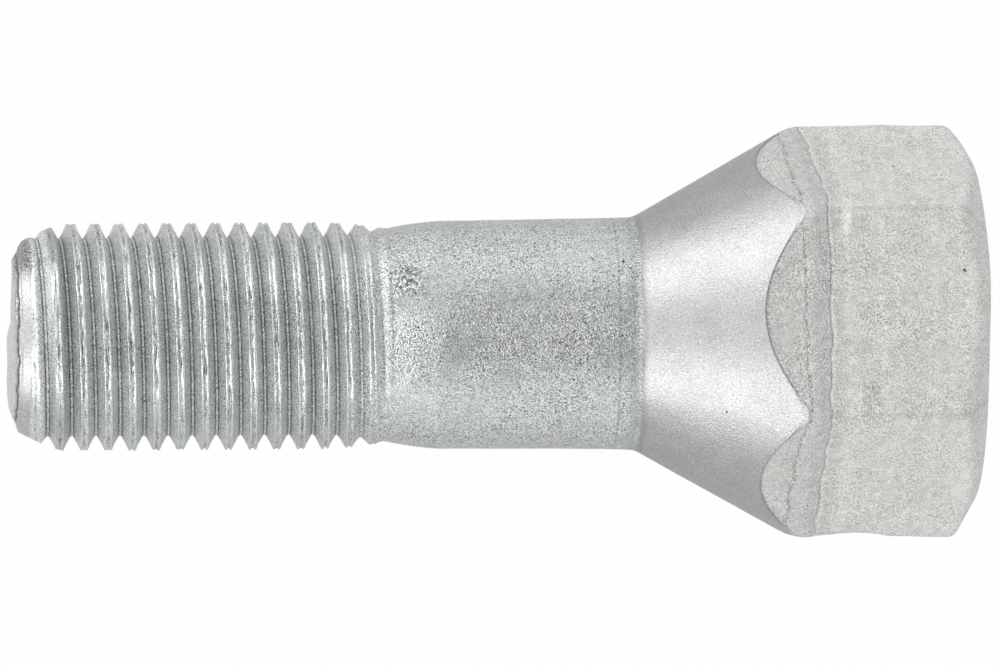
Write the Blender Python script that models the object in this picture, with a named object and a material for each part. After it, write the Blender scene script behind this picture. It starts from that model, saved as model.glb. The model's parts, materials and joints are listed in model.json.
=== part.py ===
# Wheel bolt: a one-piece, cold-forged bolt with a rolled thread, a plain shank, a conical seat and a hexagon head.
# It is shaped with its axis along +X, thread end at zero, and is then laid down the way it comes to rest on a floor.
# The origin ends up under the middle of the bolt, on the floor. Metres, +Z up.

import math

import bmesh
import bpy
from mathutils import Matrix

# Thread: 12 mm nominal with 1.25 mm pitch, right-hand, rolled onto a blank of the pitch diameter.
THREAD_DIAMETER = 0.0118
THREAD_PITCH = 0.00125
THREAD_LENGTH = 0.0195
RUNOUT_LENGTH = 0.0040
BLANK_DIAMETER = 0.01108
CREST_AT = 0.000592  # distance of a crest from the thread's end face, on the +Y side

# Thread end: a flat face, a rounded rim and a lead cone that cuts the first turns down.
END_FACE_DIAMETER = 0.0086
END_ROUNDING = 0.0004
LEAD_LENGTH = 0.0026

# Plain shank, slightly tapered, reached from the blank over a convex shoulder.
SHOULDER_LENGTH = 0.0027
SHANK_FRONT_DIAMETER = 0.01183
SHANK_BACK_DIAMETER = 0.01204
SHOULDER_BULGE = 1.5  # power of the shoulder's curve
STEM_LENGTH = 0.0323  # thread end face to the start of the seat

# Seat and head.
SEAT_ANGLE = math.radians(60)
SEAT_FILLET = 0.0004
HEAD_LENGTH = 0.0178  # start of the seat to the head's end face
ACROSS_FLATS = 0.0190
CORNER_ROUNDING = 0.0014
HEAD_FACE_DIAMETER = 0.0172
HEAD_CHAMFER = math.radians(30)
CREASE_LAND = 0.00016  # narrow land that eases each flat into the seat, where the crease stands out most
LAND_RISE = 0.100922  # slope of the land, the same as of the floor that the bolt lies on
LAND_RUN = 0.001  # of which the seat leaves only the land

# Share of the pitch: flat crest, round root, and height of a 60 degree rolled profile.
CREST_FLAT = 0.125
ROOT_RADIUS = 0.1443
PROFILE_HEIGHT = 0.6134

# Fineness of the mesh.
THREAD_COLUMNS = 48
TURNED_COLUMNS = 96
ROUND_STEPS = 4
CORNER_STEPS = 5
MERGE = 1e-7
HALF_STEP = math.pi / THREAD_COLUMNS  # sets a facet of the thread, not a corner, towards each flat of the head
NOSE_GAP = THREAD_PITCH / 20  # between the last ring of the nose and the first of the thread
SHANK_GAP = THREAD_PITCH / 10  # between the last ring of the thread and the first of the shank
START_MARGIN = 0.02  # share of the pitch by which the thread starts before the cone meets the roots
BLANK_MARGIN = 1.05  # the turned blank of the head over the corners of the hexagon
BAR_MARGIN = 1.4  # the hexagon bar over the bolt's length

FLANK_ANGLE = math.radians(30)
THREAD_RADIUS = THREAD_DIAMETER / 2
BLANK_RADIUS = BLANK_DIAMETER / 2
ROOT_FLOOR = THREAD_RADIUS - PROFILE_HEIGHT * THREAD_PITCH
HEX_CORNER_RADIUS = ACROSS_FLATS / math.sqrt(3)


def lead_slope():
    """Rise of the lead cone, from the rounded rim of the end face to the full thread diameter."""
    return (THREAD_RADIUS - END_FACE_DIAMETER / 2 - END_ROUNDING) / LEAD_LENGTH


def lead_radius(x):
    return THREAD_RADIUS - lead_slope() * (LEAD_LENGTH - x)


def thread_start():
    """Where the thread begins to cut into the lead cone: just short of the cone's meeting with the roots."""
    return LEAD_LENGTH - (THREAD_RADIUS - ROOT_FLOOR + START_MARGIN * THREAD_PITCH) / lead_slope()


def pitch_profile():
    """One pitch of the rolled profile, from root to root: (distance from the crest's middle, radius)."""
    half = THREAD_PITCH / 2
    crest = CREST_FLAT * half
    root = ROOT_RADIUS * THREAD_PITCH
    shoulder = (half - root * math.cos(FLANK_ANGLE), ROOT_FLOOR + root * (1 - math.sin(FLANK_ANGLE)))
    return [
        (-half, ROOT_FLOOR),
        (-shoulder[0], shoulder[1]),
        (-crest, THREAD_RADIUS),
        (crest, THREAD_RADIUS),
        shoulder,
        (half, ROOT_FLOOR),
    ]


def rolled_radius(x, radius):
    """The profile fades into the blank over the run-out, and the lead cone trims the first turns."""
    run = min(max(1 - (THREAD_LENGTH - x) / RUNOUT_LENGTH, 0), 1)
    faded = BLANK_RADIUS + (radius - BLANK_RADIUS) * (1 - run * run)
    return min(faded, lead_radius(x))


def spin_profile(bm, points, columns, turns=1, advance=0):
    """Spins (x, radius) points round the X axis, right-handed, moving along it by advance for each turn."""
    verts = [bm.verts.new((x, radius, 0)) for x, radius in points]
    edges = [bm.edges.new(pair) for pair in zip(verts, verts[1:])]
    steps = columns * turns
    bmesh.ops.spin(
        bm,
        geom=verts + edges,
        cent=(0, 0, 0),
        axis=(1, 0, 0),
        dvec=(advance / columns, 0, 0),
        angle=2 * math.pi * turns,
        steps=steps,
    )
    bmesh.ops.remove_doubles(bm, verts=bm.verts[:], dist=MERGE)
    bmesh.ops.rotate(bm, verts=bm.verts[:], cent=(0, 0, 0), matrix=Matrix.Rotation(HALF_STEP, 3, "X"))


def cut_square(bm, x, keep_after):
    """Cuts everything on one side of the plane at x away, and leaves the ring there open."""
    side = 1 if keep_after else -1
    bmesh.ops.bisect_plane(
        bm,
        geom=bm.verts[:] + bm.edges[:] + bm.faces[:],
        dist=MERGE,
        plane_co=(x, 0, 0),
        plane_no=(side, 0, 0),
        clear_inner=True,
    )


def make_thread():
    """The rolled helix between the lead cone and the plain blank, open at both ends."""
    bm = bmesh.new()
    start = thread_start()
    turns = math.ceil((THREAD_LENGTH - start) / THREAD_PITCH) + 3
    first_crest = CREST_AT + THREAD_PITCH * (math.floor((start - CREST_AT) / THREAD_PITCH) - 1)
    first_crest += THREAD_PITCH * HALF_STEP / (2 * math.pi)
    profile = [(first_crest + x, radius) for x, radius in pitch_profile()]
    spin_profile(bm, profile, THREAD_COLUMNS, turns, THREAD_PITCH)
    for vert in bm.verts:
        radius = math.hypot(vert.co.y, vert.co.z)
        scale = rolled_radius(vert.co.x, radius) / radius
        vert.co.y *= scale
        vert.co.z *= scale
    cut_square(bm, start, True)
    cut_square(bm, THREAD_LENGTH, False)
    return bm


def make_nose():
    """The end face's rounded rim and the bare part of the lead cone, up to where the thread begins."""
    bm = bmesh.new()
    rim = END_FACE_DIAMETER / 2
    points = []
    for step in range(ROUND_STEPS + 1):
        turn = math.pi / 2 * step / ROUND_STEPS
        along = END_ROUNDING * (1 - math.cos(turn))
        out = (lead_radius(END_ROUNDING) - rim) * math.sin(turn)
        points.append((along, rim + out))
    end = thread_start() - NOSE_GAP
    points.append((end, lead_radius(end)))
    spin_profile(bm, points, THREAD_COLUMNS)
    return bm


def make_shank_and_head():
    """Everything behind the thread, as turned from round: shoulder, shank, seat, head blank and its chamfer."""
    bm = bmesh.new()
    front = SHANK_FRONT_DIAMETER / 2
    back = SHANK_BACK_DIAMETER / 2
    head_end = STEM_LENGTH + HEAD_LENGTH
    outer = BLANK_MARGIN * HEX_CORNER_RADIUS
    rise = math.tan(SEAT_ANGLE / 2)
    points = [(THREAD_LENGTH + SHANK_GAP, BLANK_RADIUS)]
    for step in range(1, ROUND_STEPS + 1):
        share = step / ROUND_STEPS
        radius = front - (front - BLANK_RADIUS) * (1 - share) ** SHOULDER_BULGE
        points.append((THREAD_LENGTH + SHOULDER_LENGTH * share, radius))
    reach = SEAT_FILLET * math.tan(SEAT_ANGLE / 4)
    for step in range(ROUND_STEPS):
        turn = SEAT_ANGLE / 2 * step / (ROUND_STEPS - 1)
        along = SEAT_FILLET * math.sin(turn)
        out = SEAT_FILLET * (1 - math.cos(turn))
        points.append((STEM_LENGTH - reach + along, back + out))
    points.append((STEM_LENGTH + (outer - back) / rise, outer))
    points.append((head_end - (outer - HEAD_FACE_DIAMETER / 2) * math.tan(HEAD_CHAMFER), outer))
    points.append((head_end, HEAD_FACE_DIAMETER / 2))
    spin_profile(bm, points, TURNED_COLUMNS)
    return bm


def ring_at(bm, x):
    """The open edges of bm that lie in the plane at x."""
    return [
        edge
        for edge in bm.edges
        if edge.is_boundary and all(abs(vert.co.x - x) < 10 * MERGE for vert in edge.verts)
    ]


def add_to(bm, part):
    """Copies one bmesh into another through a mesh of its own."""
    carrier = bpy.data.meshes.new("carrier")
    part.to_mesh(carrier)
    part.free()
    bm.from_mesh(carrier)
    bpy.data.meshes.remove(carrier)


def make_turned_bolt():
    """Nose, thread and shank with the round head blank, joined ring to ring into one closed body."""
    bm = bmesh.new()
    for part in (make_nose(), make_thread(), make_shank_and_head()):
        add_to(bm, part)
    start = thread_start()
    nose_ring = ring_at(bm, start - NOSE_GAP)
    bmesh.ops.bridge_loops(bm, edges=nose_ring + ring_at(bm, start))
    shank_ring = ring_at(bm, THREAD_LENGTH + SHANK_GAP)
    bmesh.ops.bridge_loops(bm, edges=ring_at(bm, THREAD_LENGTH) + shank_ring)
    for x in (0, STEM_LENGTH + HEAD_LENGTH):
        bmesh.ops.contextual_create(bm, geom=ring_at(bm, x))
    bmesh.ops.recalc_face_normals(bm, faces=bm.faces[:])
    return bm


def make_hex_bar():
    """A hexagon bar with rounded corners, longer than the bolt, two of its flats level, reduced ahead of the head."""
    bm = bmesh.new()
    length = STEM_LENGTH + HEAD_LENGTH
    bmesh.ops.create_cone(
        bm,
        cap_ends=True,
        segments=6,
        radius1=HEX_CORNER_RADIUS,
        radius2=HEX_CORNER_RADIUS,
        depth=BAR_MARGIN * length,
    )
    along = [edge for edge in bm.edges if abs(edge.verts[0].co.z - edge.verts[1].co.z) > length]
    bmesh.ops.bevel(
        bm,
        geom=along,
        offset=CORNER_ROUNDING * math.tan(math.radians(30)),
        offset_type="OFFSET",
        segments=CORNER_STEPS,
        profile=0.5,
        affect="EDGES",
    )
    crease = STEM_LENGTH + (ACROSS_FLATS - SHANK_BACK_DIAMETER) / 2 / math.tan(SEAT_ANGLE / 2)
    land_end = crease + CREASE_LAND - length / 2
    for z in (land_end, land_end - LAND_RUN):
        bmesh.ops.bisect_plane(
            bm,
            geom=bm.verts[:] + bm.edges[:] + bm.faces[:],
            dist=MERGE,
            plane_co=(0, 0, z),
            plane_no=(0, 0, 1),
        )
    reduced = 1 - 2 * LAND_RUN * LAND_RISE / ACROSS_FLATS
    front = [vert for vert in bm.verts if vert.co.z < land_end - LAND_RUN + MERGE]
    bmesh.ops.scale(bm, verts=front, vec=(reduced, reduced, 1))
    bm.transform(Matrix.Translation((length / 2, 0, 0)) @ Matrix.Rotation(math.radians(90), 4, "Y"))
    return bm


def make_object(name, bm, material):
    mesh = bpy.data.meshes.new(name)
    bm.to_mesh(mesh)
    bm.free()
    mesh.materials.append(material)
    obj = bpy.data.objects.new(name, mesh)
    bpy.context.scene.collection.objects.link(obj)
    return obj


def zinc_coated_steel():
    """Pale grey zinc with a faint green cast."""
    material = bpy.data.materials.new("zinc_coated_steel")
    material.use_nodes = True
    shader = material.node_tree.nodes["Principled BSDF"]
    shader.inputs["Base Color"].default_value = (0.60, 0.63, 0.60, 1)
    shader.inputs["Metallic"].default_value = 1.0
    shader.inputs["Roughness"].default_value = 0.42
    return material


def lower_outline(points):
    """The corners of the lower side of a cloud of (x, z) points, from left to right."""
    outline = []
    for point in sorted(points):
        while len(outline) > 1:
            (ax, az), (bx, bz) = outline[-2:]
            if (bx - ax) * (point[1] - az) > (bz - az) * (point[0] - ax):
                break
            outline.pop()
        outline.append(point)
    return outline


def centre_of_mass(mesh):
    """Centre of the closed mesh's volume, summed over its triangles."""
    mesh.calc_loop_triangles()
    total = 0
    moment = 0
    for triangle in mesh.loop_triangles:
        a, b, c = (mesh.vertices[index].co for index in triangle.vertices)
        volume = a.dot(b.cross(c)) / 6
        total += volume
        moment += volume * (a.x + b.x + c.x) / 4
    return moment / total


def lay_down(bolt):
    """Turns and moves the bolt so that it rests on the thread and on the edge of a flat, as it lies on a floor."""
    bpy.context.view_layer.update()
    evaluated = bolt.evaluated_get(bpy.context.evaluated_depsgraph_get())
    mesh = evaluated.to_mesh()
    middle = centre_of_mass(mesh)
    outline = lower_outline([(vert.co.x, vert.co.z) for vert in mesh.vertices])
    near, far = next(pair for pair in zip(outline, outline[1:]) if pair[1][0] > middle)
    turn = Matrix.Rotation(math.atan2(far[1] - near[1], far[0] - near[0]), 4, "Y")
    turned = [turn @ vert.co for vert in mesh.vertices]
    evaluated.to_mesh_clear()
    lowest = [min(co[axis] for co in turned) for axis in range(3)]
    highest = [max(co[axis] for co in turned) for axis in range(3)]
    shift = (-(lowest[0] + highest[0]) / 2, -(lowest[1] + highest[1]) / 2, -lowest[2])
    bolt.matrix_world = Matrix.Translation(shift) @ turn


def main():
    for obj in list(bpy.data.objects):
        bpy.data.objects.remove(obj)
    zinc = zinc_coated_steel()
    bolt = make_object("wheel_bolt", make_turned_bolt(), zinc)
    bar = make_object("hex_bar", make_hex_bar(), zinc)
    bar.parent = bolt
    bar.hide_render = True
    bar.display_type = "WIRE"
    trim = bolt.modifiers.new("hexagon", "BOOLEAN")
    trim.operation = "INTERSECT"
    trim.object = bar
    bolt.data.shade_smooth()
    bolt.data.set_sharp_from_angle(angle=math.radians(25))
    lay_down(bolt)


main()
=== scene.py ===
import json
import math

import bmesh
import bpy
from mathutils import Matrix, Vector, noise


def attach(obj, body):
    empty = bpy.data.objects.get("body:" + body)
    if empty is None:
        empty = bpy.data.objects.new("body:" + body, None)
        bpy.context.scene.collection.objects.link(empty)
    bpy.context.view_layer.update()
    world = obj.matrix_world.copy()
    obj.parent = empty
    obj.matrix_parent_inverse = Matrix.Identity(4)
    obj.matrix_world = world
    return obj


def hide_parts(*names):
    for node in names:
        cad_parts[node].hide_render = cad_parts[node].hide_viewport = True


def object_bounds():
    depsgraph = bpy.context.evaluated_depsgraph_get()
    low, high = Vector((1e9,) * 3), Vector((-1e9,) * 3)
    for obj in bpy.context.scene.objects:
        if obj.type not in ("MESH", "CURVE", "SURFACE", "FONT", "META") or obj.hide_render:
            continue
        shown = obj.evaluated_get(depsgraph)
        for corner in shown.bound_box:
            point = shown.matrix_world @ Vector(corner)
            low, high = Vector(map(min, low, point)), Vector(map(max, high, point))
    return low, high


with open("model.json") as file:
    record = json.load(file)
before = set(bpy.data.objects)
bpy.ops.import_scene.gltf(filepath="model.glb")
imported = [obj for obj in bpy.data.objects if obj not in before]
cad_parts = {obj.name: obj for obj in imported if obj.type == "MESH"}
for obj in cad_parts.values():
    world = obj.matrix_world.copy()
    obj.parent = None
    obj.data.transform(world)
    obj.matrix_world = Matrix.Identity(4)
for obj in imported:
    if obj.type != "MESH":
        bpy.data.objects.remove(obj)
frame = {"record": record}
cadLow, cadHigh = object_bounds()

mm = 0.001
fullTurn = 2 * math.pi


# The bolt is shaped along +X, with its thread end at zero and a flat facing +Z,
# and is then laid where the frame has it

mounts = {mount["name"]: mount for mount in frame["record"]["mounts"]}


def mountPoint(name):
    return Vector(mounts[name]["pos_m"])


def mountAxis(name):
    return Vector(mounts[name]["axis"]).normalized()


bolt = {
    "length": 50.1 * mm,
    "thread": 19.5 * mm,  # end face to the plain blank
    "stem": 32.31 * mm,  # end face to the start of the seat
    "blankRadius": 5.54 * mm,
    "shankFront": 5.905 * mm,
    "shankBack": 6.010 * mm,
    "shoulder": 2.7 * mm,
    "shoulderBulge": 1.5,
    "seatSlope": math.tan(math.radians(29.6)),
    "chamferSlope": math.tan(math.radians(60)),
    "faceRadius": 8.6 * mm,
    "sides": 6,
    "cornerRounding": 1.4 * mm,
}
alongBolt = mountAxis("head_end_face")
upFlat = mountAxis("spanner_flat_top")
acrossBolt = upFlat.cross(alongBolt)
threadEnd = mountPoint("head_end_face") - alongBolt * bolt["length"]
bolt["flat"] = (mountPoint("spanner_flat_top") - mountPoint("spanner_flat_bottom")).dot(upFlat) / 2
layDown = Matrix((alongBolt, acrossBolt, upFlat)).transposed().to_4x4()
layDown.translation = threadEnd
print("frame read: flats", round(2 * bolt["flat"] / mm, 2), "mm apart")


# Small helpers for forged and rolled metal; turns are measured from +Y towards +Z

def ripple(size, x, y=0.0, z=0.0):
    return noise.noise(Vector((x, y, z)) / size)  # places and sizes in millimetres


def hump(distance, width):
    return math.exp(-((distance / width) ** 2))


def smooth(value, low, high):
    share = min(max((value - low) / (high - low), 0), 1)
    return share * share * (3 - 2 * share)


def turnOf(point):
    return math.atan2(point.z, point.y) % fullTurn


def turnGap(turn, degrees):
    return (turn - math.radians(degrees) + math.pi) % fullTurn - math.pi


mergeDist = 1e-7
sectors = 6  # a full turn is spun as one sector, which is then copied round


def allOf(bm):
    return bm.verts[:] + bm.edges[:] + bm.faces[:]


def copyOn(bm, count, step, angle):
    first = allOf(bm)
    for index in range(1, count):
        copied = bmesh.ops.duplicate(bm, geom=first)["geom"]
        verts = [item for item in copied if isinstance(item, bmesh.types.BMVert)]
        bmesh.ops.rotate(bm, verts=verts, cent=(0, 0, 0), matrix=Matrix.Rotation(angle * index, 3, "X"))
        bmesh.ops.translate(bm, verts=verts, vec=(step * index, 0, 0))
    bmesh.ops.remove_doubles(bm, verts=bm.verts[:], dist=mergeDist)


def spinProfile(bm, profile, columns, advance=0.0):
    verts = [bm.verts.new((x, radius, 0)) for x, radius in profile]
    edges = [bm.edges.new(pair) for pair in zip(verts, verts[1:])]
    bmesh.ops.spin(
        bm,
        geom=verts + edges,
        cent=(0, 0, 0),
        axis=(1, 0, 0),
        dvec=(advance / columns, 0, 0),
        angle=fullTurn / sectors,
        steps=columns // sectors,
    )
    copyOn(bm, sectors, advance / sectors, fullTurn / sectors)


# Thread: rolled metal rises as two lips that meet in a seam along the crest

thread = {
    "pitch": 1.25 * mm,
    "crestAt": 0.592 * mm,  # first crest, from the end face on the side that faces +Y
    "columns": 162,
    "halfCrest": [  # share of the pitch from the seam, radius in mm
        (0.0, 5.795),
        (0.035, 5.808),
        (0.070, 5.860),
        (0.105, 5.892),
        (0.138, 5.868),
        (0.170, 5.795),
        (0.230, 5.620),
    ],
    "rootRadius": 0.110 * mm,
    "rootFloor": 5.125 * mm,
    "rootSteps": 4,
    "flank": math.radians(30),
    "lipAt": 0.105,  # this and the two widths are shares of the pitch
    "lipWidth": 0.050,
    "seamWidth": 0.045,
    "sway": 0.085 * mm,
    "lipSway": 0.6,  # of the seam's sway
    "lift": 0.050 * mm,
    "liftMiddle": 0.2,  # the value of the ripple that leaves a lip as it is
    "seamDepth": 0.12 * mm,
    "seamMiddle": 0.1,
    "seamMost": 0.4,  # share of its depth by which the seam can stand proud instead
    "sidesApart": 4.0,  # keeps the ripples of the two lips unlike each other
    "runOut": 4.0 * mm,
    "leadDrop": 1.2 * mm,
    "leadLength": 2.75 * mm,
    "leadBulge": 1.3,
    "startMargin": 0.02 * mm,
    "spareTurns": 3,  # spun past both ends, then cut off
}
crestRadius = 5.9 * mm

# Ripples along the crest: size in mm, share, and a place in the noise that no other has
crestRipples = {
    "sway": [(1.1, 1.0, 0), (0.45, 0.9, 5)],
    "lift": [(0.9, 1.0, 9), (0.40, 0.9, 13)],
    "seam": [(2.4, 1.0, 17), (0.5, 0.8, 21)],
}


def threadProfile():
    pitch = thread["pitch"]
    half = [(share * pitch, radius * mm) for share, radius in thread["halfCrest"]]
    steps = thread["rootSteps"]
    for step in range(steps + 1):
        tilt = (math.pi / 2 - thread["flank"]) * (1 - step / steps)
        along = pitch / 2 - thread["rootRadius"] * math.sin(tilt)
        half.append((along, thread["rootFloor"] + thread["rootRadius"] * (1 - math.cos(tilt))))
    before = [(-x, radius) for x, radius in reversed(half[1:])]
    return before + half


def leadRadius(x):
    gone = max(1 - x / thread["leadLength"], 0)
    return crestRadius - thread["leadDrop"] * gone ** thread["leadBulge"]


def threadStart():
    depth = (crestRadius - thread["rootFloor"] + thread["startMargin"]) / thread["leadDrop"]
    return thread["leadLength"] * (1 - depth ** (1 / thread["leadBulge"]))


def pitchShare(x, turn):
    phase = (x - thread["crestAt"]) / thread["pitch"] - turn / fullTurn
    return phase - round(phase), round(phase) + turn / fullTurn


def runOutShare(x):
    run = min(max(1 - (bolt["thread"] - x) / thread["runOut"], 0), 1)
    return 1 - run * run


def crestRipple(name, way, side):
    return sum(share * ripple(size, way, side, layer) for size, share, layer in crestRipples[name])


def rollThread(vert):
    turn = turnOf(vert.co)
    radius = math.hypot(vert.co.y, vert.co.z)
    share, turns = pitchShare(vert.co.x, turn)
    way = turns * fullTurn * crestRadius / mm  # along the crest, in mm
    side = thread["sidesApart"] if share > 0 else -thread["sidesApart"]
    lip = hump(abs(share) - thread["lipAt"], thread["lipWidth"])
    seam = hump(share, thread["seamWidth"])
    sway = crestRipple("sway", way, side)
    lift = crestRipple("lift", way, side)
    depth = crestRipple("seam", way, 0)
    radius += lip * thread["lift"] * (lift - thread["liftMiddle"])
    radius += seam * thread["seamDepth"] * min(depth - thread["seamMiddle"], thread["seamMost"])
    vert.co.x += (thread["lipSway"] * lip + seam) * thread["sway"] * sway
    radius = bolt["blankRadius"] + (radius - bolt["blankRadius"]) * runOutShare(vert.co.x)
    radius = min(radius, leadRadius(vert.co.x))
    vert.co.y = radius * math.cos(turn)
    vert.co.z = radius * math.sin(turn)


def cutSquare(bm, x, side):
    bmesh.ops.bisect_plane(
        bm,
        geom=allOf(bm),
        dist=mergeDist,
        plane_co=(x, 0, 0),
        plane_no=(side, 0, 0),
        clear_inner=True,
    )


def makeThread():
    bm = bmesh.new()
    pitch = thread["pitch"]
    start = threadStart()
    turns = math.ceil((bolt["thread"] - start) / pitch) + thread["spareTurns"]
    firstCrest = thread["crestAt"] + pitch * (math.floor((start - thread["crestAt"]) / pitch) - 1)
    profile = [(firstCrest + x, radius) for x, radius in threadProfile()]
    spinProfile(bm, profile, thread["columns"], pitch)
    copyOn(bm, turns, pitch, 0)
    for vert in bm.verts:
        rollThread(vert)
    cutSquare(bm, start, 1)
    cutSquare(bm, bolt["thread"], -1)
    return bm


# Thread end: cropped a little out of square, with a rounded rim, then the bare start of the lead cone

nose = {
    "faceRadius": 4.25 * mm,
    "rimDepth": 0.4 * mm,
    "rimSteps": 10,
    "faceRings": 8,
    "coneRings": 4,
    "gap": 0.05 * mm,  # from the last ring to the thread's first
    "dome": 0.08 * mm,
    "cropFade": (-1.5, -0.2),  # depth under the bolt's middle in mm: no crop above it, full crop below
    "bulge": 0.09 * mm,
    "bulgeAt": -2.4,  # out from the bolt's middle, in mm
    "bulgeWidth": 1.1,
    "pinchFrom": 0.7 * mm,
    "wornAlong": (0.1 * mm, 0.65 * mm),
    "uneven": 0.04 * mm,
    "unevenSize": 1.3,
    "unevenLayer": 3,
    "lapAt": 0.15 * mm,
    "lapSway": 0.13 * mm,
    "lapWidth": 0.05 * mm,
    "lapDeep": 0.03 * mm,
    "lapRadius": 4.5,
    "lapRipples": [(1.6, 1.0, 31), (0.5, 0.6, 37)],  # as those of the crest
}

# Metal missing from the rim: how much, and from where to where out from the bolt's middle in mm
losses = {
    "upperCrop": {"deep": 0.37 * mm, "out": (0.4, 1.8)},
    "upperRim": {"deep": 0.20 * mm, "out": (2.4, 4.6)},
    "lowerCrop": {"deep": 0.24 * mm, "out": (3.1, 4.6)},
    "pinch": {"deep": 0.11 * mm, "out": (3.5, 4.8)},  # the rim stands back at the lower side
    "worn": {"deep": 0.45 * mm, "out": (3.3, 4.6)},  # and is rounder at the upper side
}


def lossAt(name, out):
    return losses[name]["deep"] * smooth(out, *losses[name]["out"])


def lapPlace(turn):
    around = nose["lapRadius"] * turn
    sway = sum(share * ripple(size, around, layer) for size, share, layer in nose["lapRipples"])
    return nose["lapAt"] + nose["lapSway"] * sway


def makeNose():
    bm = bmesh.new()
    profile = []
    for ring in range(nose["faceRings"]):
        share = ring / nose["faceRings"]
        profile.append((-nose["dome"] * (1 - share * share), nose["faceRadius"] * share))
    rimOut = leadRadius(nose["rimDepth"]) - nose["faceRadius"]
    for step in range(nose["rimSteps"] + 1):
        tilt = math.pi / 2 * step / nose["rimSteps"]
        along = nose["rimDepth"] * (1 - math.cos(tilt))
        profile.append((along, nose["faceRadius"] + rimOut * math.sin(tilt)))
    end = threadStart() - nose["gap"]
    for ring in range(1, nose["coneRings"] + 1):
        x = nose["rimDepth"] + (end - nose["rimDepth"]) * ring / nose["coneRings"]
        profile.append((x, leadRadius(x)))
    spinProfile(bm, profile, thread["columns"])
    endFace = bm.verts.layers.float.new("endFace")
    for vert in bm.verts:
        x, y, z = vert.co
        radius = math.hypot(y, z)
        vert[endFace] = 1 if radius < nose["faceRadius"] + mergeDist else 0
        fade = max(1 - max(x, 0) / nose["rimDepth"], 0)
        out = y / mm
        crop = lossAt("upperCrop", out) + lossAt("upperRim", out)
        crop += lossAt("lowerCrop", -out) - nose["bulge"] * hump(out - nose["bulgeAt"], nose["bulgeWidth"])
        crop *= smooth(-z / mm, *nose["cropFade"])
        uneven = nose["uneven"] * ripple(nose["unevenSize"], out, z / mm, nose["unevenLayer"])
        vert.co.x += fade * (crop + uneven)
        drop = nose["lapDeep"] * hump(x - lapPlace(turnOf(vert.co)), nose["lapWidth"]) * fade
        drop += lossAt("pinch", -out) * (1 - smooth(x, nose["pinchFrom"], end))
        drop += lossAt("worn", out) * (1 - smooth(x, *nose["wornAlong"]))
        if radius > 0:
            vert.co.y *= 1 - drop / radius
            vert.co.z *= 1 - drop / radius
    return bm, end


# Shank, seat and head: every column of the turned blank follows its own outline to the hexagon

head = {
    "columns": 252,
    "crowding": 0.5,  # how much closer the columns stand at the corners
    "shoulderRows": 12,
    "rows": [30, 26, 52, 5, 12],  # shank, seat, flat, chamfer, end face
    "flatEase": 1.2,  # the rows of a flat stand closer near its creases
    "roundRows": 4,
    "seatRound": 0.36 * mm,
    "flatRound": 0.06 * mm,
    "flatRoundAtCorner": 0.55 * mm,
    "cornerReach": 1.0 * mm,
    "chamferRound": 0.34 * mm,
    "rimRound": 0.45 * mm,
    "start": 19.6 * mm,
    "swell": 0.13 * mm,  # the end face stands out a little on one side
    "swellAt": 2.1,  # out from the bolt's middle, in mm
    "swellReach": 2.9,
    "swellFrom": 48.3 * mm,
}

# Marks of the forging dies and of handling: place along the bolt, reach and depth in mm, turn in degrees;
# one that is less than nothing deep stands proud
dents = [
    {"along": 43.1, "turn": 180, "long": 1.55, "wide": 1.3, "deep": 0.235, "rough": 0.2},
    {"along": 44.5, "turn": 180, "long": 1.0, "wide": 1.3, "deep": 0.13, "rough": 0.2},
    {"along": 46.6, "turn": 180, "long": 1.2, "wide": 1.2, "deep": 0.06, "rough": 0.3},
    {"along": 45.4, "turn": 0, "long": 0.9, "wide": 1.2, "deep": -0.05, "rough": 0.0},
    {"along": 34.6, "turn": 180, "long": 3.0, "wide": 4.0, "deep": -0.045, "rough": 0.0},
    {"along": 42.35, "turn": 61, "long": 0.40, "wide": 0.70, "deep": 0.17, "rough": 1.4},
    {"along": 42.9, "turn": 64, "long": 0.28, "wide": 0.90, "deep": -0.09, "rough": 1.4},
    {"along": 43.4, "turn": 117, "long": 0.28, "wide": 0.80, "deep": -0.09, "rough": 1.4},
    {"along": 44.2, "turn": 117, "long": 0.50, "wide": 0.80, "deep": 0.12, "rough": 1.4},
    {"along": 43.2, "turn": 240, "long": 1.2, "wide": 1.0, "deep": 0.12, "rough": 0.5},
    {"along": 45.0, "turn": 300, "long": 1.6, "wide": 0.9, "deep": 0.10, "rough": 0.5},
]

# Two forging laps run round the head: turn in degrees and place along the bolt in mm
laps = {
    "first": [
        (0, 39.95), (25, 40.1), (60, 40.45), (90, 40.5), (118, 40.7), (138, 40.1),
        (165, 40.0), (200, 40.1), (240, 40.5), (290, 40.3), (330, 40.0), (360, 39.95),
    ],
    "second": [
        (0, 41.15), (20, 41.4), (50, 41.8), (90, 41.85), (120, 41.8),
        (150, 41.6), (185, 41.5), (240, 41.9), (300, 41.6), (360, 41.15),
    ],
}
lapPath = {"sway": 0.16, "swaySize": 0.8, "radius": 9}  # mm

# Relief of the forged skin, in mm
forged = {
    "ripples": [(0.016, 4.0), (0.008, 0.9)],  # height and size
    "dentGrain": 0.5,
    "beforeFirst": 0.030,  # depth of the strips left of each lap
    "beforeSecond": 0.045,
    "ledgeSpread": 0.10,
    "cornerBare": 0.2,  # the strips fade out before the corners
    "cornerFade": 1.5,
    "chamferBare": 1.4,
    "punchHeight": 0.012,  # long ripples left by the punch
    "punchSize": 0.9,
    "punchStretch": 0.12,
}


def hexRadius(turn):
    sector = fullTurn / bolt["sides"]
    off = abs(turn % sector - sector / 2)
    tangent = (bolt["flat"] - bolt["cornerRounding"]) * math.tan(sector / 2)
    if bolt["flat"] * math.tan(off) <= tangent:
        return bolt["flat"] / math.cos(off)
    centre = (bolt["flat"] - bolt["cornerRounding"]) / math.cos(sector / 2)
    away = sector / 2 - off
    return centre * math.cos(away) + math.sqrt(bolt["cornerRounding"] ** 2 - (centre * math.sin(away)) ** 2)


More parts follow.
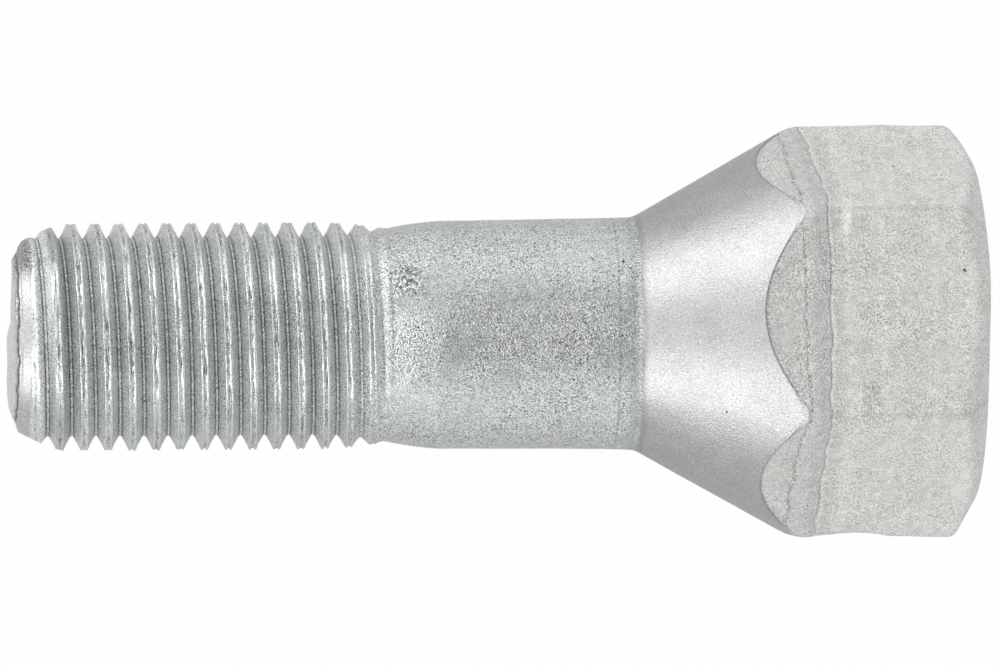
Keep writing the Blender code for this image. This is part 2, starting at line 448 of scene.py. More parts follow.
def cornerGap(turn):
    sector = fullTurn / bolt["sides"]
    return abs((turn + sector / 2) % sector - sector / 2) * 2 * bolt["flat"] / math.sqrt(3)


def flatStart(turn):
    return bolt["stem"] + (hexRadius(turn) - bolt["shankBack"]) / bolt["seatSlope"]


def straightRun(a, b, rows, ease=1.0):
    return [a.lerp(b, (step / rows) ** ease) for step in range(1, rows + 1)]


def roundedCorner(a, corner, b, rows):
    points = []
    for step in range(1, rows + 1):
        t = step / rows
        points.append(a.lerp(corner, t).lerp(corner.lerp(b, t), t))
    return points


def headOutline(turn):
    radius = hexRadius(turn)
    flatTo = bolt["length"] - (radius - bolt["faceRadius"]) / bolt["chamferSlope"]
    outline = []
    drop = bolt["shankFront"] - bolt["blankRadius"]
    shoulderFrom = head["start"] - bolt["thread"]
    for row in range(head["shoulderRows"] + 1):
        x = shoulderFrom + (bolt["shoulder"] - shoulderFrom) * row / head["shoulderRows"]
        left = (1 - x / bolt["shoulder"]) ** bolt["shoulderBulge"]
        outline.append(Vector((bolt["thread"] + x, bolt["shankFront"] - drop * left)))
    flatRound = head["flatRound"] + head["flatRoundAtCorner"] * hump(cornerGap(turn), head["cornerReach"])
    corners = [  # place, reach of its rounding, and ease of the rows before it
        (Vector((bolt["stem"], bolt["shankBack"])), head["seatRound"], 1.0),
        (Vector((flatStart(turn), radius)), flatRound, 1.0),
        (Vector((flatTo, radius)), head["chamferRound"], head["flatEase"]),
        (Vector((bolt["length"], bolt["faceRadius"])), head["rimRound"], 1.0),
    ]
    ends = [outline[-1]] + [corner[0] for corner in corners] + [Vector((bolt["length"], 0))]
    for index, (corner, reach, ease) in enumerate(corners):
        into = corner + (ends[index] - corner).normalized() * reach
        out = corner + (ends[index + 2] - corner).normalized() * reach
        outline += straightRun(outline[-1], into, head["rows"][index], ease)
        outline += roundedCorner(into, corner, out, head["roundRows"])
    outline += straightRun(outline[-1], ends[-1], head["rows"][-1])
    return outline


def lapGap(name, x, turn):
    degrees = math.degrees(turn) % 360
    for (fromTurn, fromPlace), (toTurn, toPlace) in zip(laps[name], laps[name][1:]):
        if fromTurn <= degrees <= toTurn:
            place = fromPlace + (toPlace - fromPlace) * smooth(degrees, fromTurn, toTurn)
            break
    sway = lapPath["sway"] * ripple(lapPath["swaySize"], lapPath["radius"] * turn, fromPlace, toTurn)
    return x / mm - place - sway


def lapFade(turn):
    return min(max(cornerGap(turn) / mm - forged["cornerBare"], 0) / forged["cornerFade"], 1)


def forgedShift(x, turn, radius):
    along = x / mm
    y = radius * math.cos(turn) / mm
    z = radius * math.sin(turn) / mm
    shift = sum(height * ripple(size, along, y, z) for height, size in forged["ripples"])
    for dent in dents:
        reach = hump(along - dent["along"], dent["long"])
        reach *= hump(turnGap(turn, dent["turn"]) * radius / mm, dent["wide"])
        shift -= dent["deep"] * reach * (1 + dent["rough"] * ripple(forged["dentGrain"], along, y, z))
    if flatStart(turn) - mergeDist < x < bolt["length"] - forged["chamferBare"] * mm:
        fade = lapFade(turn)
        spread = forged["ledgeSpread"]
        shift -= fade * forged["beforeFirst"] * smooth(-lapGap("first", x, turn), -spread, spread)
        shift -= fade * forged["beforeSecond"] * smooth(-lapGap("second", x, turn), -spread, spread)
        stretch = forged["punchStretch"]
        shift += forged["punchHeight"] * ripple(forged["punchSize"], along, stretch * y, stretch * z)
    return shift * mm


def makeShankAndHead():
    bm = bmesh.new()
    columns = head["columns"]
    turns = []
    for column in range(columns):
        even = fullTurn * column / columns
        turns.append(even - head["crowding"] / bolt["sides"] * math.sin(bolt["sides"] * even))
    outlines = [headOutline(turn) for turn in turns]
    spinProfile(bm, [(row, 1) for row in range(len(outlines[0]))], columns)
    for vert in bm.verts:
        column = round(turnOf(vert.co) / fullTurn * columns) % columns
        x, radius = outlines[column][round(vert.co.x)]
        turn = turns[column]
        shift = forgedShift(x, turn, radius) if x > head["start"] + mergeDist else 0
        y = radius * math.cos(turn) / mm
        swell = head["swell"] * hump(y - head["swellAt"], head["swellReach"])
        swell *= smooth(x, head["swellFrom"], bolt["length"])
        if x > bolt["length"] - mergeDist:
            shift *= radius / bolt["faceRadius"]
        vert.co = (x + swell, (radius + shift) * math.cos(turn), (radius + shift) * math.sin(turn))
    bmesh.ops.remove_doubles(bm, verts=bm.verts[:], dist=mergeDist)
    return bm


# Where the coating differs, and where the material paints shade: values on every vertex that the material
# reads

rubs = [  # lighter places where the coating was rubbed
    {"along": 46.9, "turn": 15, "long": 0.7, "wide": 0.5},
    {"along": 43.9, "turn": 113, "long": 0.7, "wide": 0.6},
    {"along": 42.9, "turn": 55, "long": 0.4, "wide": 0.8},
    {"along": 20.5, "turn": 117, "long": 0.5, "wide": 0.7},
]
stain = {"along": 20.25, "turn": 66, "long": 0.9, "wide": 1.1}

# Small nicks and hair-thin scratches: place along the bolt in mm and turn in degrees, then half width in mm
nicks = [
    {"at": (31.49, 57.7), "size": 0.075},
    {"at": (29.91, 56.0), "size": 0.045},
    {"at": (30.72, 116.7), "to": (30.62, 117.8), "size": 0.050},
    {"at": (35.62, 34.6), "to": (35.75, 34.0), "size": 0.045},
    {"at": (35.30, 126.3), "to": (36.53, 125.2), "size": 0.036},
    {"at": (36.54, 125.2), "size": 0.050},
    {"at": (40.16, 43.3), "to": (40.02, 43.6), "size": 0.055},
    {"at": (45.58, 32.3), "size": 0.060},
    {"at": (48.71, 77.2), "to": (48.79, 77.6), "size": 0.065},
    {"at": (43.71, 88.6), "to": (44.85, 93.9), "size": 0.034},
    {"at": (41.01, 163.4), "size": 0.060},
    {"at": (43.12, 172.6), "size": 0.050},
    {"at": (27.40, 231.0), "size": 0.060},
    {"at": (47.00, 222.0), "to": (47.30, 224.0), "size": 0.040},
]
nickStep = 0.20  # mm between the spots that make up a scratch


def skinRadius(x, turn):
    if x < bolt["thread"]:
        return bolt["blankRadius"]
    outline = headOutline(turn)
    return next((b.y for a, b in zip(outline, outline[1:]) if a.x <= x <= b.x), bolt["shankFront"])


def nickSpots():
    spots = []
    for nick in nicks:
        start = nick["at"]
        end = nick.get("to", start)
        around = math.radians(end[1] - start[1]) * skinRadius(start[0] * mm, math.radians(start[1])) / mm
        count = 1 + round(math.hypot(end[0] - start[0], around) / nickStep)
        for step in range(count):
            share = step / max(count - 1, 1)
            x = (start[0] + (end[0] - start[0]) * share) * mm
            turn = math.radians(start[1] + (end[1] - start[1]) * share)
            radius = skinRadius(x, turn)
            spot = layDown @ Vector((x, radius * math.cos(turn), radius * math.sin(turn)))
            spots.append((spot, nick["size"] * mm))
    return spots


def nearMark(mark, x, turn, radius):
    reach = hump(x / mm - mark["along"], mark["long"])
    return reach * hump(turnGap(turn, mark["turn"]) * radius / mm, mark["wide"])


skin = {
    "blend": 0.2 * mm,  # from the bare cone to the rolled thread
    "scuffed": (2.4, 3.4),  # out from the bolt's middle, in mm
    "flatMargin": 0.02 * mm,
    "cornerWidth": 0.20,
    "noCrease": 9,  # mm that stand for none near
    "noLap": 2,
}


def finishAt(x, turn, radius):
    share, turns = pitchShare(x, turn)
    rolled = runOutShare(x) if x < bolt["thread"] else 0
    onFlat = x > flatStart(turn) - skin["flatMargin"]
    start = threadStart()
    coneEnd = start + skin["blend"]
    out = radius * math.cos(turn) / mm
    return {
        "rolled": rolled * smooth(x, start, coneEnd),
        "rollSin": math.sin(fullTurn * share),
        "rollCos": math.cos(fullTurn * share),
        "way": turns * fullTurn * crestRadius / mm,
        "tip": 1 - smooth(x, start, coneEnd),
        "tipLap": (x - lapPlace(turn)) / mm,
        "scuffed": smooth(out, *skin["scuffed"]) if x < coneEnd else 0,
        "ring": x / mm,
        "seat": 1 if bolt["stem"] < x and not onFlat else 0,
        "flat": 1 if onFlat else 0,
        "crease": (x - flatStart(turn)) / mm if x > bolt["stem"] else skin["noCrease"],
        "firstLap": lapGap("first", x, turn) if onFlat else skin["noLap"],
        "secondLap": lapGap("second", x, turn) if onFlat else skin["noLap"],
        # where painted shade darkens the hex corners of the flats
        "corner": hump(cornerGap(turn) / mm, skin["cornerWidth"]) if onFlat else 0,
        "rub": max(nearMark(rub, x, turn, radius) for rub in rubs),
        "stain": nearMark(stain, x, turn, radius),
    }


def markFinish(bm):
    layers = {name: bm.verts.layers.float.new(name) for name in finishAt(0, 0, crestRadius)}
    for vert in bm.verts:
        values = finishAt(vert.co.x, turnOf(vert.co), math.hypot(vert.co.y, vert.co.z))
        for name, value in values.items():
            vert[layers[name]] = value


# The three stretches become one closed skin

def addTo(bm, part):
    carrier = bpy.data.meshes.new("carrier")
    part.to_mesh(carrier)
    part.free()
    bm.from_mesh(carrier)
    bpy.data.meshes.remove(carrier)


def openRing(bm, x):
    near = 10 * mergeDist
    rims = [edge for edge in bm.edges if edge.is_boundary]
    return [edge for edge in rims if all(abs(vert.co.x - x) < near for vert in edge.verts)]


def makeBolt(material):
    bm = bmesh.new()
    nosePart, noseEnd = makeNose()
    addTo(bm, nosePart)
    print("nose turned")
    addTo(bm, makeThread())
    print("thread rolled")
    addTo(bm, makeShankAndHead())
    print("shank and head forged")
    bmesh.ops.bridge_loops(bm, edges=openRing(bm, noseEnd) + openRing(bm, threadStart()))
    bmesh.ops.bridge_loops(bm, edges=openRing(bm, bolt["thread"]) + openRing(bm, head["start"]))
    bmesh.ops.recalc_face_normals(bm, faces=bm.faces[:])
    markFinish(bm)
    bm.transform(layDown)
    openEdges = sum(edge.is_boundary for edge in bm.edges)
    triangles = sum(len(face.verts) - 2 for face in bm.faces)
    print("open edges:", openEdges, "triangles:", triangles)
    mesh = bpy.data.meshes.new("bolt_surface")
    bm.to_mesh(mesh)
    bm.free()
    mesh.materials.append(material)
    mesh.shade_smooth()
    piece = bpy.data.objects.new("bolt_surface", mesh)
    bpy.context.scene.collection.objects.link(piece)
    return piece


# Zinc coating: colours, heights of the relief in metres, and how the finish differs from place to place

zinc = {
    "colour": (0.690, 0.718, 0.690, 1),
    "coolColour": (0.672, 0.708, 0.702, 1),
    "threadColour": (0.715, 0.750, 0.725, 1),
    "crestColour": (0.760, 0.785, 0.760, 1),
    "flatColour": (0.730, 0.750, 0.718, 1),
    "seatColour": (0.502, 0.510, 0.506, 1),
    "tipColour": (0.545, 0.558, 0.547, 1),
    # one dark colour, for real grime and for painted shade
    "grimeAndShadeColour": (0.07, 0.08, 0.08, 1),
    "grainHeight": 0.036 * mm,
    "lumpHeight": 0.020 * mm,
    "streakHeight": 0.045 * mm,
    "raggedHeight": 0.12 * mm,
    "lapHeight": 0.045 * mm,
    "nickDepth": 0.05 * mm,
    "crestGrainLoss": 0.65,
    "calmGrainLoss": 0.45,
    "calmLumpLoss": 0.7,
    "crestSpeckLoss": 0.5,
    "rubbedRagged": 0.5,
    "speck": 2.7,
    "flatSpeck": 1.65,
    "calmSpeck": 1.0,
    "paintedHighlightAt": 0.09,  # mm past the second lap, where a painted highlight runs
    "paintedHighlightGain": 0.14,
    "rubbedGain": 0.10,
    "grooveAt": 31.2,  # mm along the bolt, just before the seat, where a line of painted shade is drawn
    "streakStretch": 9.0,
    "bandSway": 0.3,
    "metallic": 0.97,
    "threadMetallic": 0.60,
    "flatMetallic": 0.20,
    "roughness": 0.33,
    "flatRoughness": 0.50,
    "seatRoughness": 0.36,
    "crestRoughness": 0.24,
    "roughnessSway": 0.04,
}

# Size and detail of each noise; the last two run on their own coordinates, in mm
patterns = {
    "cloud": (1.6 * mm, 3.0),
    "lump": (0.45 * mm, 2.0),
    "ragged": (0.19 * mm, 2.0),
    "grain": (0.100 * mm, 2.0),
    "speck": (0.085 * mm, 1.0),
    "patch": (2.6 * mm, 3.0),
    "streak": (0.10, 2.0),
    "band": (0.9, 2.0),
}
noiseMiddle = 0.5

# Where a pattern starts and ends, in mm or as a share of a noise or mark,
# then its amount at both where that isn't 0 and 1
fades = {
    "crest": (0.30, 0.60),
    "root": (-0.82, -0.74, 1.0, 0.0),
    "seam": (0.35, 0.65, 0.30, 1.0),
    # painted shade at the root edges
    "rootEdgeShade": (0.14, 0.30),
    "rootEdgeShadeRagged": (0.35, 0.65, 0.45, 1.0),
    "cone": (-0.14, -0.08),
    "nick": (0.6, 1.2, 1.0, 0.0),
    "strong": (0.35, 0.65, 0.75, 1.35),
    "calm": (0.0, 1.0),
    "calmLump": (0.0, 1.0, 0.92, 0.985),
    "cloudColour": (0.35, 0.65),
    "leadEnd": (1.7, 1.9, 1.0),
    "firstTurns": (1.9, 3.6, 0.70, 1.0),
    "lump": (0.25, 0.75),
    "cloud": (0.30, 0.70, 0.97, 1.03),
    "banding": (47.8, 48.6, 0.35, 0.0),
    # painted light: lifts the colour towards the chamfer
    "chamfer": (48.0, 48.9, 0.0, 0.05),
    "cloudRough": (0.3, 0.7),
    "inRoot": (0.28, 0.36, 0.80, 0.0),
    "stained": (0.42, 0.52, 0.85, 0.0),
    "rubbed": (0.40, 0.50, 0.45, 0.0),
    # painted shade in the first lap, broken into dashes
    "firstLine": (0.45, 0.55, 0.55, 0.05),
    "scuffed": (0.42, 0.60, 0.75, 0.0),
    # painted shade in strips beside the laps of the flats
    "beforeSecond": (-1.4, -0.2, 0.11, 0.25),
    "pastFirst": (-0.03, 0.03, 0.06, 0.16),
    "pastSecond": (-0.03, 0.03, 1.0, 0.35),
    "beyond": (0.3, 1.4, 1.0, 0.0),
    # painted shade in the fillet between shank and seat
    "collarShadeFrom": (31.45, 32.05, 0.0, 0.19),
    "collarShadeTo": (32.5, 32.75, 0.19, 0.0),
}

# Half width of each drawn line in mm, how far noise makes it wander, and how dark the painted shade drawn
# in it is
widths = {
    "seam": 0.24,  # a sine of its place within the pitch
    "lap": 0.08,
    "tipLap": 0.060,
    "paintedHighlightLine": 0.07,
    "groove": 0.10,
    "crease": 0.11,
}
lineCore = 0.3  # share of the half width that is full strength
wander = {"seam": 2.6, "firstLap": 0.45, "secondLap": 0.20, "tipLap": 0.12, "nick": 2.2, "crease": 0.10}
# painted shade: darkness drawn into the colour in seams, root edges, corners, laps, nicks, creases, the
# collar and the groove
paintedShade = {
    "seam": 0.70,
    "rootEdgeShade": 0.80,
    "corner": 0.16,
    "tipLap": 0.80,
    "nick": 0.95,
    "crease": 0.27,
    "collarShade": 1.0,
    "groove": 0.24,
}


class Board:
    # A node tree with short calls for the nodes that the coating uses

    def __init__(self, name):
        self.material = bpy.data.materials.new(name)
        self.material.use_nodes = True
        self.nodes = self.material.node_tree.nodes
        self.links = self.material.node_tree.links
        self.shader = self.nodes["Principled BSDF"]
        self.place = self.nodes.new("ShaderNodeTexCoord").outputs["Object"]

    def feed(self, socket, value):
        if isinstance(value, bpy.types.NodeSocket):
            self.links.new(value, socket)
        else:
            socket.default_value = value

    def noise(self, name, place=None):
        size, detail = patterns[name]
        node = self.nodes.new("ShaderNodeTexNoise")
        node.inputs["Scale"].default_value = 1 / size
        node.inputs["Detail"].default_value = detail
        self.links.new(place or self.place, node.inputs["Vector"])
        return node.outputs["Fac"]

    def vector(self, x, y):
        node = self.nodes.new("ShaderNodeCombineXYZ")
        self.feed(node.inputs["X"], x)
        self.feed(node.inputs["Y"], y)
        return node.outputs["Vector"]

    def math(self, operation, first, second=0.0, third=0.0):
        node = self.nodes.new("ShaderNodeMath")
        node.operation = operation
        for socket, value in zip(node.inputs, (first, second, third)):
            self.feed(socket, value)
        return node.outputs["Value"]

    def mark(self, name):
        node = self.nodes.new("ShaderNodeAttribute")
        node.attribute_name = name
        return node.outputs["Fac"]

    def span(self, value, low, high, start=0.0, end=1.0):
        node = self.nodes.new("ShaderNodeMapRange")
        node.interpolation_type = "SMOOTHSTEP"
        names = ("Value", "From Min", "From Max", "To Min", "To Max")
        for name, given in zip(names, (value, low, high, start, end)):
            self.feed(node.inputs[name], given)
        return node.outputs["Result"]

    def fade(self, value, name, *amounts):
        return self.span(value, *fades[name], *amounts)

    def centred(self, value):
        return self.math("SUBTRACT", value, noiseMiddle)

    def moved(self, value, by, name):
        return self.math("MULTIPLY_ADD", by, wander[name], value)

    def lessened(self, where, loss, value=1.0):
        return self.math("MULTIPLY_ADD", where, -loss, value)

    def shifted(self, value, where, name, base):
        return self.math("MULTIPLY_ADD", where, zinc[name] - zinc[base], value)

    def reachOf(self, spot, size):
        node = self.nodes.new("ShaderNodeVectorMath")
        node.operation = "DISTANCE"
        self.links.new(self.place, node.inputs[0])
        node.inputs[1].default_value = spot
        return self.math("DIVIDE", node.outputs["Value"], size)

    def line(self, gap, name):
        width = widths[name]
        return self.span(self.math("ABSOLUTE", gap), lineCore * width, width, 1.0, 0.0)

    def mix(self, share, first, second):
        node = self.nodes.new("ShaderNodeMix")
        node.data_type = "RGBA"
        node.clamp_result = True
        colours = [socket for socket in node.inputs if socket.type == "RGBA"]
        self.feed(node.inputs["Factor"], share)
        self.feed(colours[0], first)
        self.feed(colours[1], second)
        return next(socket for socket in node.outputs if socket.type == "RGBA")

    def scale(self, colour, factor):
        node = self.nodes.new("ShaderNodeVectorMath")
        node.operation = "SCALE"
        self.feed(node.inputs["Vector"], colour)
        self.feed(node.inputs["Scale"], factor)
        return node.outputs["Vector"]


def zincCoating():
    board = Board("zinc_coating")
    rolled = board.mark("rolled")
    rollSin = board.mark("rollSin")
    rollCos = board.mark("rollCos")
    flat = board.mark("flat")
    seat = board.mark("seat")
    outside = board.math("SUBTRACT", 1.0, board.mark("endFace"))
    tip = board.math("MULTIPLY", board.mark("tip"), outside)
    tipLap = board.mark("tipLap")
    stained = board.mark("stain")
    rubbed = board.mark("rub")
    ring = board.mark("ring")
    across = board.math("MULTIPLY", rollSin, thread["pitch"] / mm / fullTurn)
    along = board.math("DIVIDE", board.mark("way"), zinc["streakStretch"])

    cloud = board.noise("cloud")
    lump = board.noise("lump")
    ragged = board.noise("ragged")
    grain = board.noise("grain")
    speck = board.noise("speck")
    streak = board.noise("streak", board.vector(along, across))
    patch = board.noise("patch")
    band = board.noise("band", board.vector(ring, board.math("MULTIPLY", lump, zinc["bandSway"])))
    jitter = board.centred(ragged)

    # Thread: crest, seam and root
    onCrest = board.math("MULTIPLY", rolled, board.fade(rollCos, "crest"))
    inRoot = board.math("MULTIPLY", rolled, board.fade(rollCos, "root"))
    swayed = board.moved(rollSin, board.centred(streak), "seam")
    # Painted shade: a dark line drawn along the crest's seam
    seam = board.math("MULTIPLY", onCrest, board.line(swayed, "seam"))
    seam = board.math("MULTIPLY", seam, board.fade(lump, "seam"))
    # Painted shade: dark lines along both edges of each root
    rootEdgeShade = board.math("MULTIPLY", inRoot, board.fade(board.math("ABSOLUTE", rollSin), "rootEdgeShade"))
    rootEdgeShade = board.math("MULTIPLY", rootEdgeShade, board.fade(ragged, "rootEdgeShadeRagged"))

    # Laps of the head and of the thread end, and the nicks
    firstGap = board.moved(board.mark("firstLap"), jitter, "firstLap")
    secondGap = board.moved(board.mark("secondLap"), jitter, "secondLap")
    # firstLine and tipLine also carry painted shade in the laps of the head and the thread end
    firstLine = board.math("MULTIPLY", flat, board.line(firstGap, "lap"))
    secondLine = board.math("MULTIPLY", flat, board.line(secondGap, "lap"))
    tipLine = board.math("MULTIPLY", tip, board.line(board.moved(tipLap, jitter, "tipLap"), "tipLap"))
    cone = board.math("MULTIPLY", tip, board.fade(tipLap, "cone"))
    reaches = [board.reachOf(spot, size) for spot, size in nickSpots()]
    nearest = reaches[0]
    for reach in reaches[1:]:
        nearest = board.math("MINIMUM", nearest, reach)
    # The nicks are dented by the bump and drawn near black in the colour: painted shade in them
    nick = board.fade(board.moved(nearest, jitter, "nick"), "nick")

    # Relief
    calm = board.math("MAXIMUM", seat, cone)
    wild = board.math("MAXIMUM", stained, board.math("MULTIPLY", rubbed, zinc["rubbedRagged"]))
    strong = board.fade(patch, "strong")
    grainShare = board.math("MULTIPLY", strong, board.lessened(onCrest, zinc["crestGrainLoss"]))
    grainShare = board.math("MULTIPLY", grainShare, board.lessened(calm, zinc["calmGrainLoss"]))
    height = board.math("MULTIPLY", board.math("MULTIPLY", grain, grainShare), zinc["grainHeight"])
    uneven = board.math("MULTIPLY", lump, board.lessened(calm, zinc["calmLumpLoss"]))
    relief = [
        (uneven, zinc["lumpHeight"]),
        (board.math("MULTIPLY", ragged, wild), zinc["raggedHeight"]),
        (board.math("MULTIPLY", streak, onCrest), zinc["streakHeight"]),
        (firstLine, -zinc["lapHeight"]),
        (secondLine, -zinc["lapHeight"]),
        (tipLine, -zinc["lapHeight"]),
        (nick, -zinc["nickDepth"]),
    ]
    for where, rise in relief:
        height = board.math("MULTIPLY_ADD", where, rise, height)
    bump = board.nodes.new("ShaderNodeBump")
    bump.inputs["Strength"].default_value = 1.0
    bump.inputs["Distance"].default_value = 1.0
    board.feed(bump.inputs["Height"], height)
    board.feed(board.shader.inputs["Normal"], bump.outputs["Normal"])

    # Colour, then how light each speck, cloud and band is
    colour = board.mix(board.fade(cloud, "cloudColour"), zinc["colour"], zinc["coolColour"])
    colour = board.mix(rolled, colour, zinc["threadColour"])
    colour = board.mix(onCrest, colour, zinc["crestColour"])
    colour = board.scale(colour, board.fade(ring, "leadEnd", board.fade(ring, "firstTurns")))
    colour = board.mix(seat, colour, zinc["seatColour"])
    colour = board.mix(cone, colour, zinc["tipColour"])
    colour = board.mix(flat, colour, zinc["flatColour"])
    amount = board.shifted(zinc["speck"], flat, "flatSpeck", "speck")
    amount = board.math("MULTIPLY", amount, board.lessened(onCrest, zinc["crestSpeckLoss"], strong))
    amount = board.fade(calm, "calm", amount, zinc["calmSpeck"])
    factor = board.math("MULTIPLY_ADD", board.centred(speck), amount, 1.0)
    darkest = board.fade(calm, "calmLump")
    lightest = board.math("SUBTRACT", 2.0, darkest)  # as far above 1 as darkest is below
    factor = board.math("MULTIPLY", factor, board.fade(lump, "lump", darkest, lightest))
    factor = board.math("MULTIPLY", factor, board.fade(cloud, "cloud"))
    banding = board.math("MULTIPLY", flat, board.centred(band))
    factor = board.math("MULTIPLY_ADD", banding, board.fade(ring, "banding"), factor)
    # Painted light: the colour is made lighter towards the chamfer, which the lamps leave darker
    factor = board.math("ADD", factor, board.fade(ring, "chamfer"))
    # Painted highlight: a thin lighter line along the ledge past the second lap
    pastLap = board.math("SUBTRACT", secondGap, zinc["paintedHighlightAt"])
    paintedHighlightLine = board.math("MULTIPLY", flat, board.line(pastLap, "paintedHighlightLine"))
    factor = board.math("MULTIPLY_ADD", paintedHighlightLine, zinc["paintedHighlightGain"], factor)
    factor = board.math("MULTIPLY_ADD", rubbed, zinc["rubbedGain"], factor)
    colour = board.scale(colour, factor)

    # Grime and painted shade: where several kinds meet, the darkest wins
    # Painted shade: darker strips beside the laps of the flats
    under = board.fade(board.mark("secondLap"), "beforeSecond")
    under = board.math("MAXIMUM", under, board.fade(firstGap, "pastFirst"))
    under = board.math("MULTIPLY", under, board.fade(secondGap, "pastSecond"))
    under = board.math("MULTIPLY", under, board.fade(secondGap, "beyond"))
    # Painted shade: a dark ring in the fillet where the shank meets the seat
    collarShade = board.math("MINIMUM", board.fade(ring, "collarShadeFrom"), board.fade(ring, "collarShadeTo"))
    # Painted shade: a dark line round the shank just before the seat, for a groove the mesh doesn't have
    groove = board.line(board.math("SUBTRACT", ring, zinc["grooveAt"]), "groove")
    # Painted shade: a dark line along the crease where the seat meets each flat
    crease = board.line(board.moved(board.mark("crease"), jitter, "crease"), "crease")
    scuffed = board.math("MULTIPLY", board.mark("scuffed"), outside)
    # Painted shade: seam, root edges, hex corners, laps, strips beside the laps, nicks, crease, collar and
    # groove; real grime and wear: root clusters, stain, rubs, scuffs
    marks = [
        (seam, paintedShade["seam"]),
        (rootEdgeShade, paintedShade["rootEdgeShade"]),
        (inRoot, board.fade(ragged, "inRoot")),
        (stained, board.fade(ragged, "stained")),
        (rubbed, board.fade(ragged, "rubbed")),
        (firstLine, board.fade(ragged, "firstLine")),
        (flat, under),
        (board.mark("corner"), paintedShade["corner"]),
        (tipLine, paintedShade["tipLap"]),
        (scuffed, board.fade(speck, "scuffed")),
        (nick, paintedShade["nick"]),
        (crease, paintedShade["crease"]),
        (collarShade, paintedShade["collarShade"]),
        (groove, paintedShade["groove"]),
    ]
    dirtAndShade = 0.0
    for where, amount in marks:
        dirtAndShade = board.math("MAXIMUM", dirtAndShade, board.math("MULTIPLY", where, amount))
    board.feed(board.shader.inputs["Base Color"], board.mix(dirtAndShade, colour, zinc["grimeAndShadeColour"]))

    smoothest = zinc["roughness"] - zinc["roughnessSway"]
    roughest = zinc["roughness"] + zinc["roughnessSway"]
    rough = board.fade(cloud, "cloudRough", smoothest, roughest)
    rough = board.shifted(rough, flat, "flatRoughness", "roughness")
    rough = board.shifted(rough, calm, "seatRoughness", "roughness")
    rough = board.shifted(rough, onCrest, "crestRoughness", "roughness")
    board.feed(board.shader.inputs["Roughness"], rough)
    metal = board.shifted(zinc["metallic"], flat, "flatMetallic", "metallic")
    metal = board.shifted(metal, rolled, "threadMetallic", "metallic")
    metal = board.shifted(metal, onCrest, "metallic", "threadMetallic")
    board.feed(board.shader.inputs["Metallic"], metal)
    return board.material


surface = makeBolt(zincCoating())
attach(surface, "root")
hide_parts("wheel_bolt")


# Floor, soft light and the camera

studio = {
    "floorSize": 6.0,
    "floorColour": (0.90, 0.90, 0.90, 1),
    "floorGap": 0.02 * mm,
    "seenWhite": 0.985,  # share of plain white that the camera sees in the floor
    "zenith": 0.345,
    "horizon": 0.98,
    "leftGain": 1.18,
    "rightGain": 0.83,
    "falloff": 1.7,
    "dimmestTowards": (0.0, -0.08, 0.997),
    "lampDistance": 0.6,
}

lamps = {
    "left_back_lamp": {"towards": (-0.75, 0.63, 0.22), "size": 0.42, "glow": 1.40},
    "left_front_lamp": {"towards": (-0.78, -0.58, 0.24), "size": 0.42, "glow": 1.40},
    "left_high_lamp": {"towards": (-0.53, 0.0, 0.85), "size": 0.27, "glow": 1.70},
}


def makeFloor():
    bm = bmesh.new()
    bmesh.ops.create_grid(bm, x_segments=1, y_segments=1, size=studio["floorSize"] / 2)
    bmesh.ops.translate(bm, verts=bm.verts[:], vec=(0, 0, cadLow.z - studio["floorGap"]))
    mesh = bpy.data.meshes.new("floor")
    bm.to_mesh(mesh)
    bm.free()
    material = bpy.data.materials.new("white_floor")
    material.use_nodes = True
    nodes = material.node_tree.nodes
    links = material.node_tree.links
    nodes.clear()
    paint = nodes.new("ShaderNodeBsdfDiffuse")
    paint.inputs["Color"].default_value = studio["floorColour"]
    white = nodes.new("ShaderNodeEmission")
    path = nodes.new("ShaderNodeLightPath")
    seen = nodes.new("ShaderNodeMath")
    seen.operation = "MULTIPLY"
    seen.inputs[1].default_value = studio["seenWhite"]
    links.new(path.outputs["Is Camera Ray"], seen.inputs[0])
    mix = nodes.new("ShaderNodeMixShader")
    links.new(seen.outputs["Value"], mix.inputs["Fac"])
    links.new(paint.outputs["BSDF"], mix.inputs[1])
    links.new(white.outputs["Emission"], mix.inputs[2])
    output = nodes.new("ShaderNodeOutputMaterial")
    links.new(mix.outputs["Shader"], output.inputs["Surface"])
    mesh.materials.append(material)
    floor = bpy.data.objects.new("floor", mesh)
    bpy.context.scene.collection.objects.link(floor)
    return floor


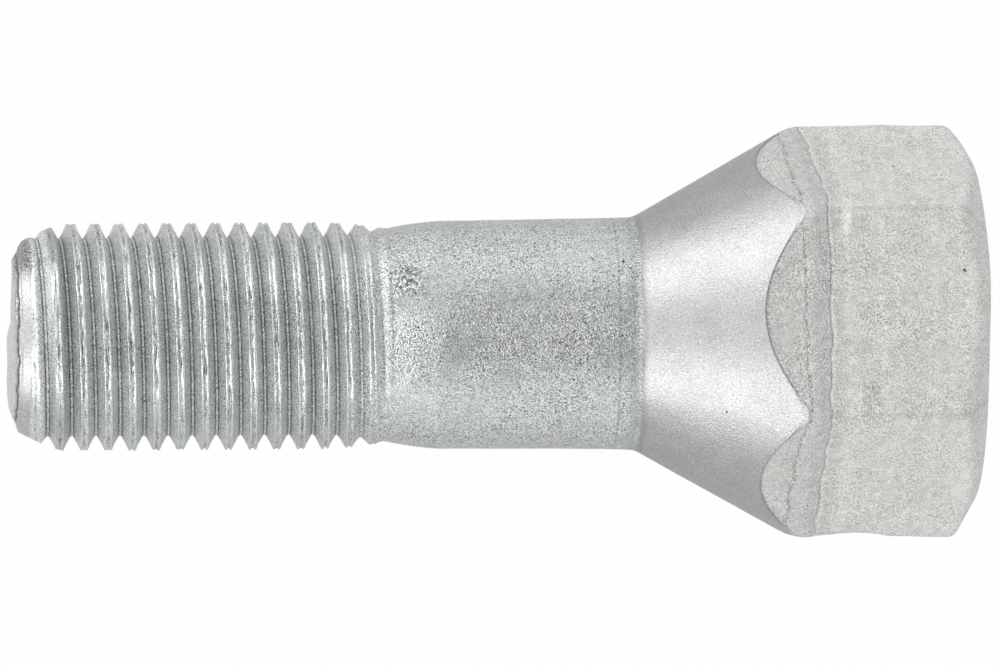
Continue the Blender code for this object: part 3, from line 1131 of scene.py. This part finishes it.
def makeWorld():
    world = bpy.data.worlds.new("studio")
    world.use_nodes = True
    nodes = world.node_tree.nodes
    links = world.node_tree.links
    background = nodes["Background"]
    place = nodes.new("ShaderNodeTexCoord")
    split = nodes.new("ShaderNodeSeparateXYZ")
    links.new(place.outputs["Generated"], split.inputs["Vector"])
    overhead = nodes.new("ShaderNodeVectorMath")
    overhead.operation = "DOT_PRODUCT"
    overhead.inputs[1].default_value = studio["dimmestTowards"]
    links.new(place.outputs["Generated"], overhead.inputs[0])
    above = nodes.new("ShaderNodeMath")
    above.operation = "MAXIMUM"
    above.inputs[1].default_value = 0.0
    links.new(overhead.outputs["Value"], above.inputs[0])
    power = nodes.new("ShaderNodeMath")
    power.operation = "POWER"
    power.inputs[1].default_value = studio["falloff"]
    links.new(above.outputs["Value"], power.inputs[0])
    ramp = nodes.new("ShaderNodeMapRange")
    ramp.inputs["From Min"].default_value = 0.0
    ramp.inputs["From Max"].default_value = 1.0
    ramp.inputs["To Min"].default_value = studio["horizon"]
    ramp.inputs["To Max"].default_value = studio["zenith"]
    links.new(power.outputs["Value"], ramp.inputs["Value"])
    side = nodes.new("ShaderNodeMapRange")
    side.inputs["From Min"].default_value = -1.0
    side.inputs["From Max"].default_value = 1.0
    side.inputs["To Min"].default_value = studio["leftGain"]
    side.inputs["To Max"].default_value = studio["rightGain"]
    links.new(split.outputs["X"], side.inputs["Value"])
    gain = nodes.new("ShaderNodeMath")
    gain.operation = "MULTIPLY"
    links.new(ramp.outputs["Result"], gain.inputs[0])
    links.new(side.outputs["Result"], gain.inputs[1])
    path = nodes.new("ShaderNodeLightPath")
    seen = nodes.new("ShaderNodeMath")
    seen.operation = "MAXIMUM"
    links.new(gain.outputs["Value"], seen.inputs[0])
    links.new(path.outputs["Is Camera Ray"], seen.inputs[1])
    links.new(seen.outputs["Value"], background.inputs["Strength"])
    background.inputs["Color"].default_value = (1, 1, 1, 1)
    bpy.context.scene.world = world


def makeLamp(name, look):
    light = bpy.data.lights.new(name, "AREA")
    light.shape = "SQUARE"
    light.size = look["size"]
    light.energy = look["glow"] * math.pi * look["size"] ** 2
    lamp = bpy.data.objects.new(name, light)
    towards = Vector(look["towards"]).normalized()
    lamp.location = towards * studio["lampDistance"]
    lamp.rotation_euler = towards.to_track_quat("Z", "Y").to_euler()
    bpy.context.scene.collection.objects.link(lamp)


makeFloor()
makeWorld()
for name, look in lamps.items():
    makeLamp(name, look)
print("floor, world and lamps set")

view = {
    "aim": 25.4 * mm,  # along the bolt, from its thread end
    "lift": 0.039 * mm,
    "distance": 0.954,
    "width": 51.9 * mm,  # what the image spans at the bolt's axis
    "leanToThread": math.radians(4.2),
    "leanAside": math.radians(6.1),
    "roll": math.radians(0.42),
    "sensor": 36.0,
    "clipStart": 0.01,
}


def makeCamera():
    upright = upFlat * math.cos(view["leanAside"]) - acrossBolt * math.sin(view["leanAside"])
    towards = upright * math.cos(view["leanToThread"]) - alongBolt * math.sin(view["leanToThread"])
    right = (alongBolt - towards * alongBolt.dot(towards)).normalized()
    right = Matrix.Rotation(-view["roll"], 3, towards) @ right
    up = towards.cross(right)
    aim = threadEnd + alongBolt * view["aim"] + up * view["lift"]
    lens = bpy.data.cameras.new("camera")
    lens.sensor_width = view["sensor"]
    lens.lens = view["sensor"] * view["distance"] / view["width"]
    lens.clip_start = view["clipStart"]
    camera = bpy.data.objects.new("camera", lens)
    turned = Matrix((right, up, towards)).transposed().to_4x4()
    camera.matrix_world = Matrix.Translation(aim + towards * view["distance"]) @ turned
    bpy.context.scene.collection.objects.link(camera)
    bpy.context.scene.camera = camera


makeCamera()
bpy.context.scene.view_settings.view_transform = "Standard"
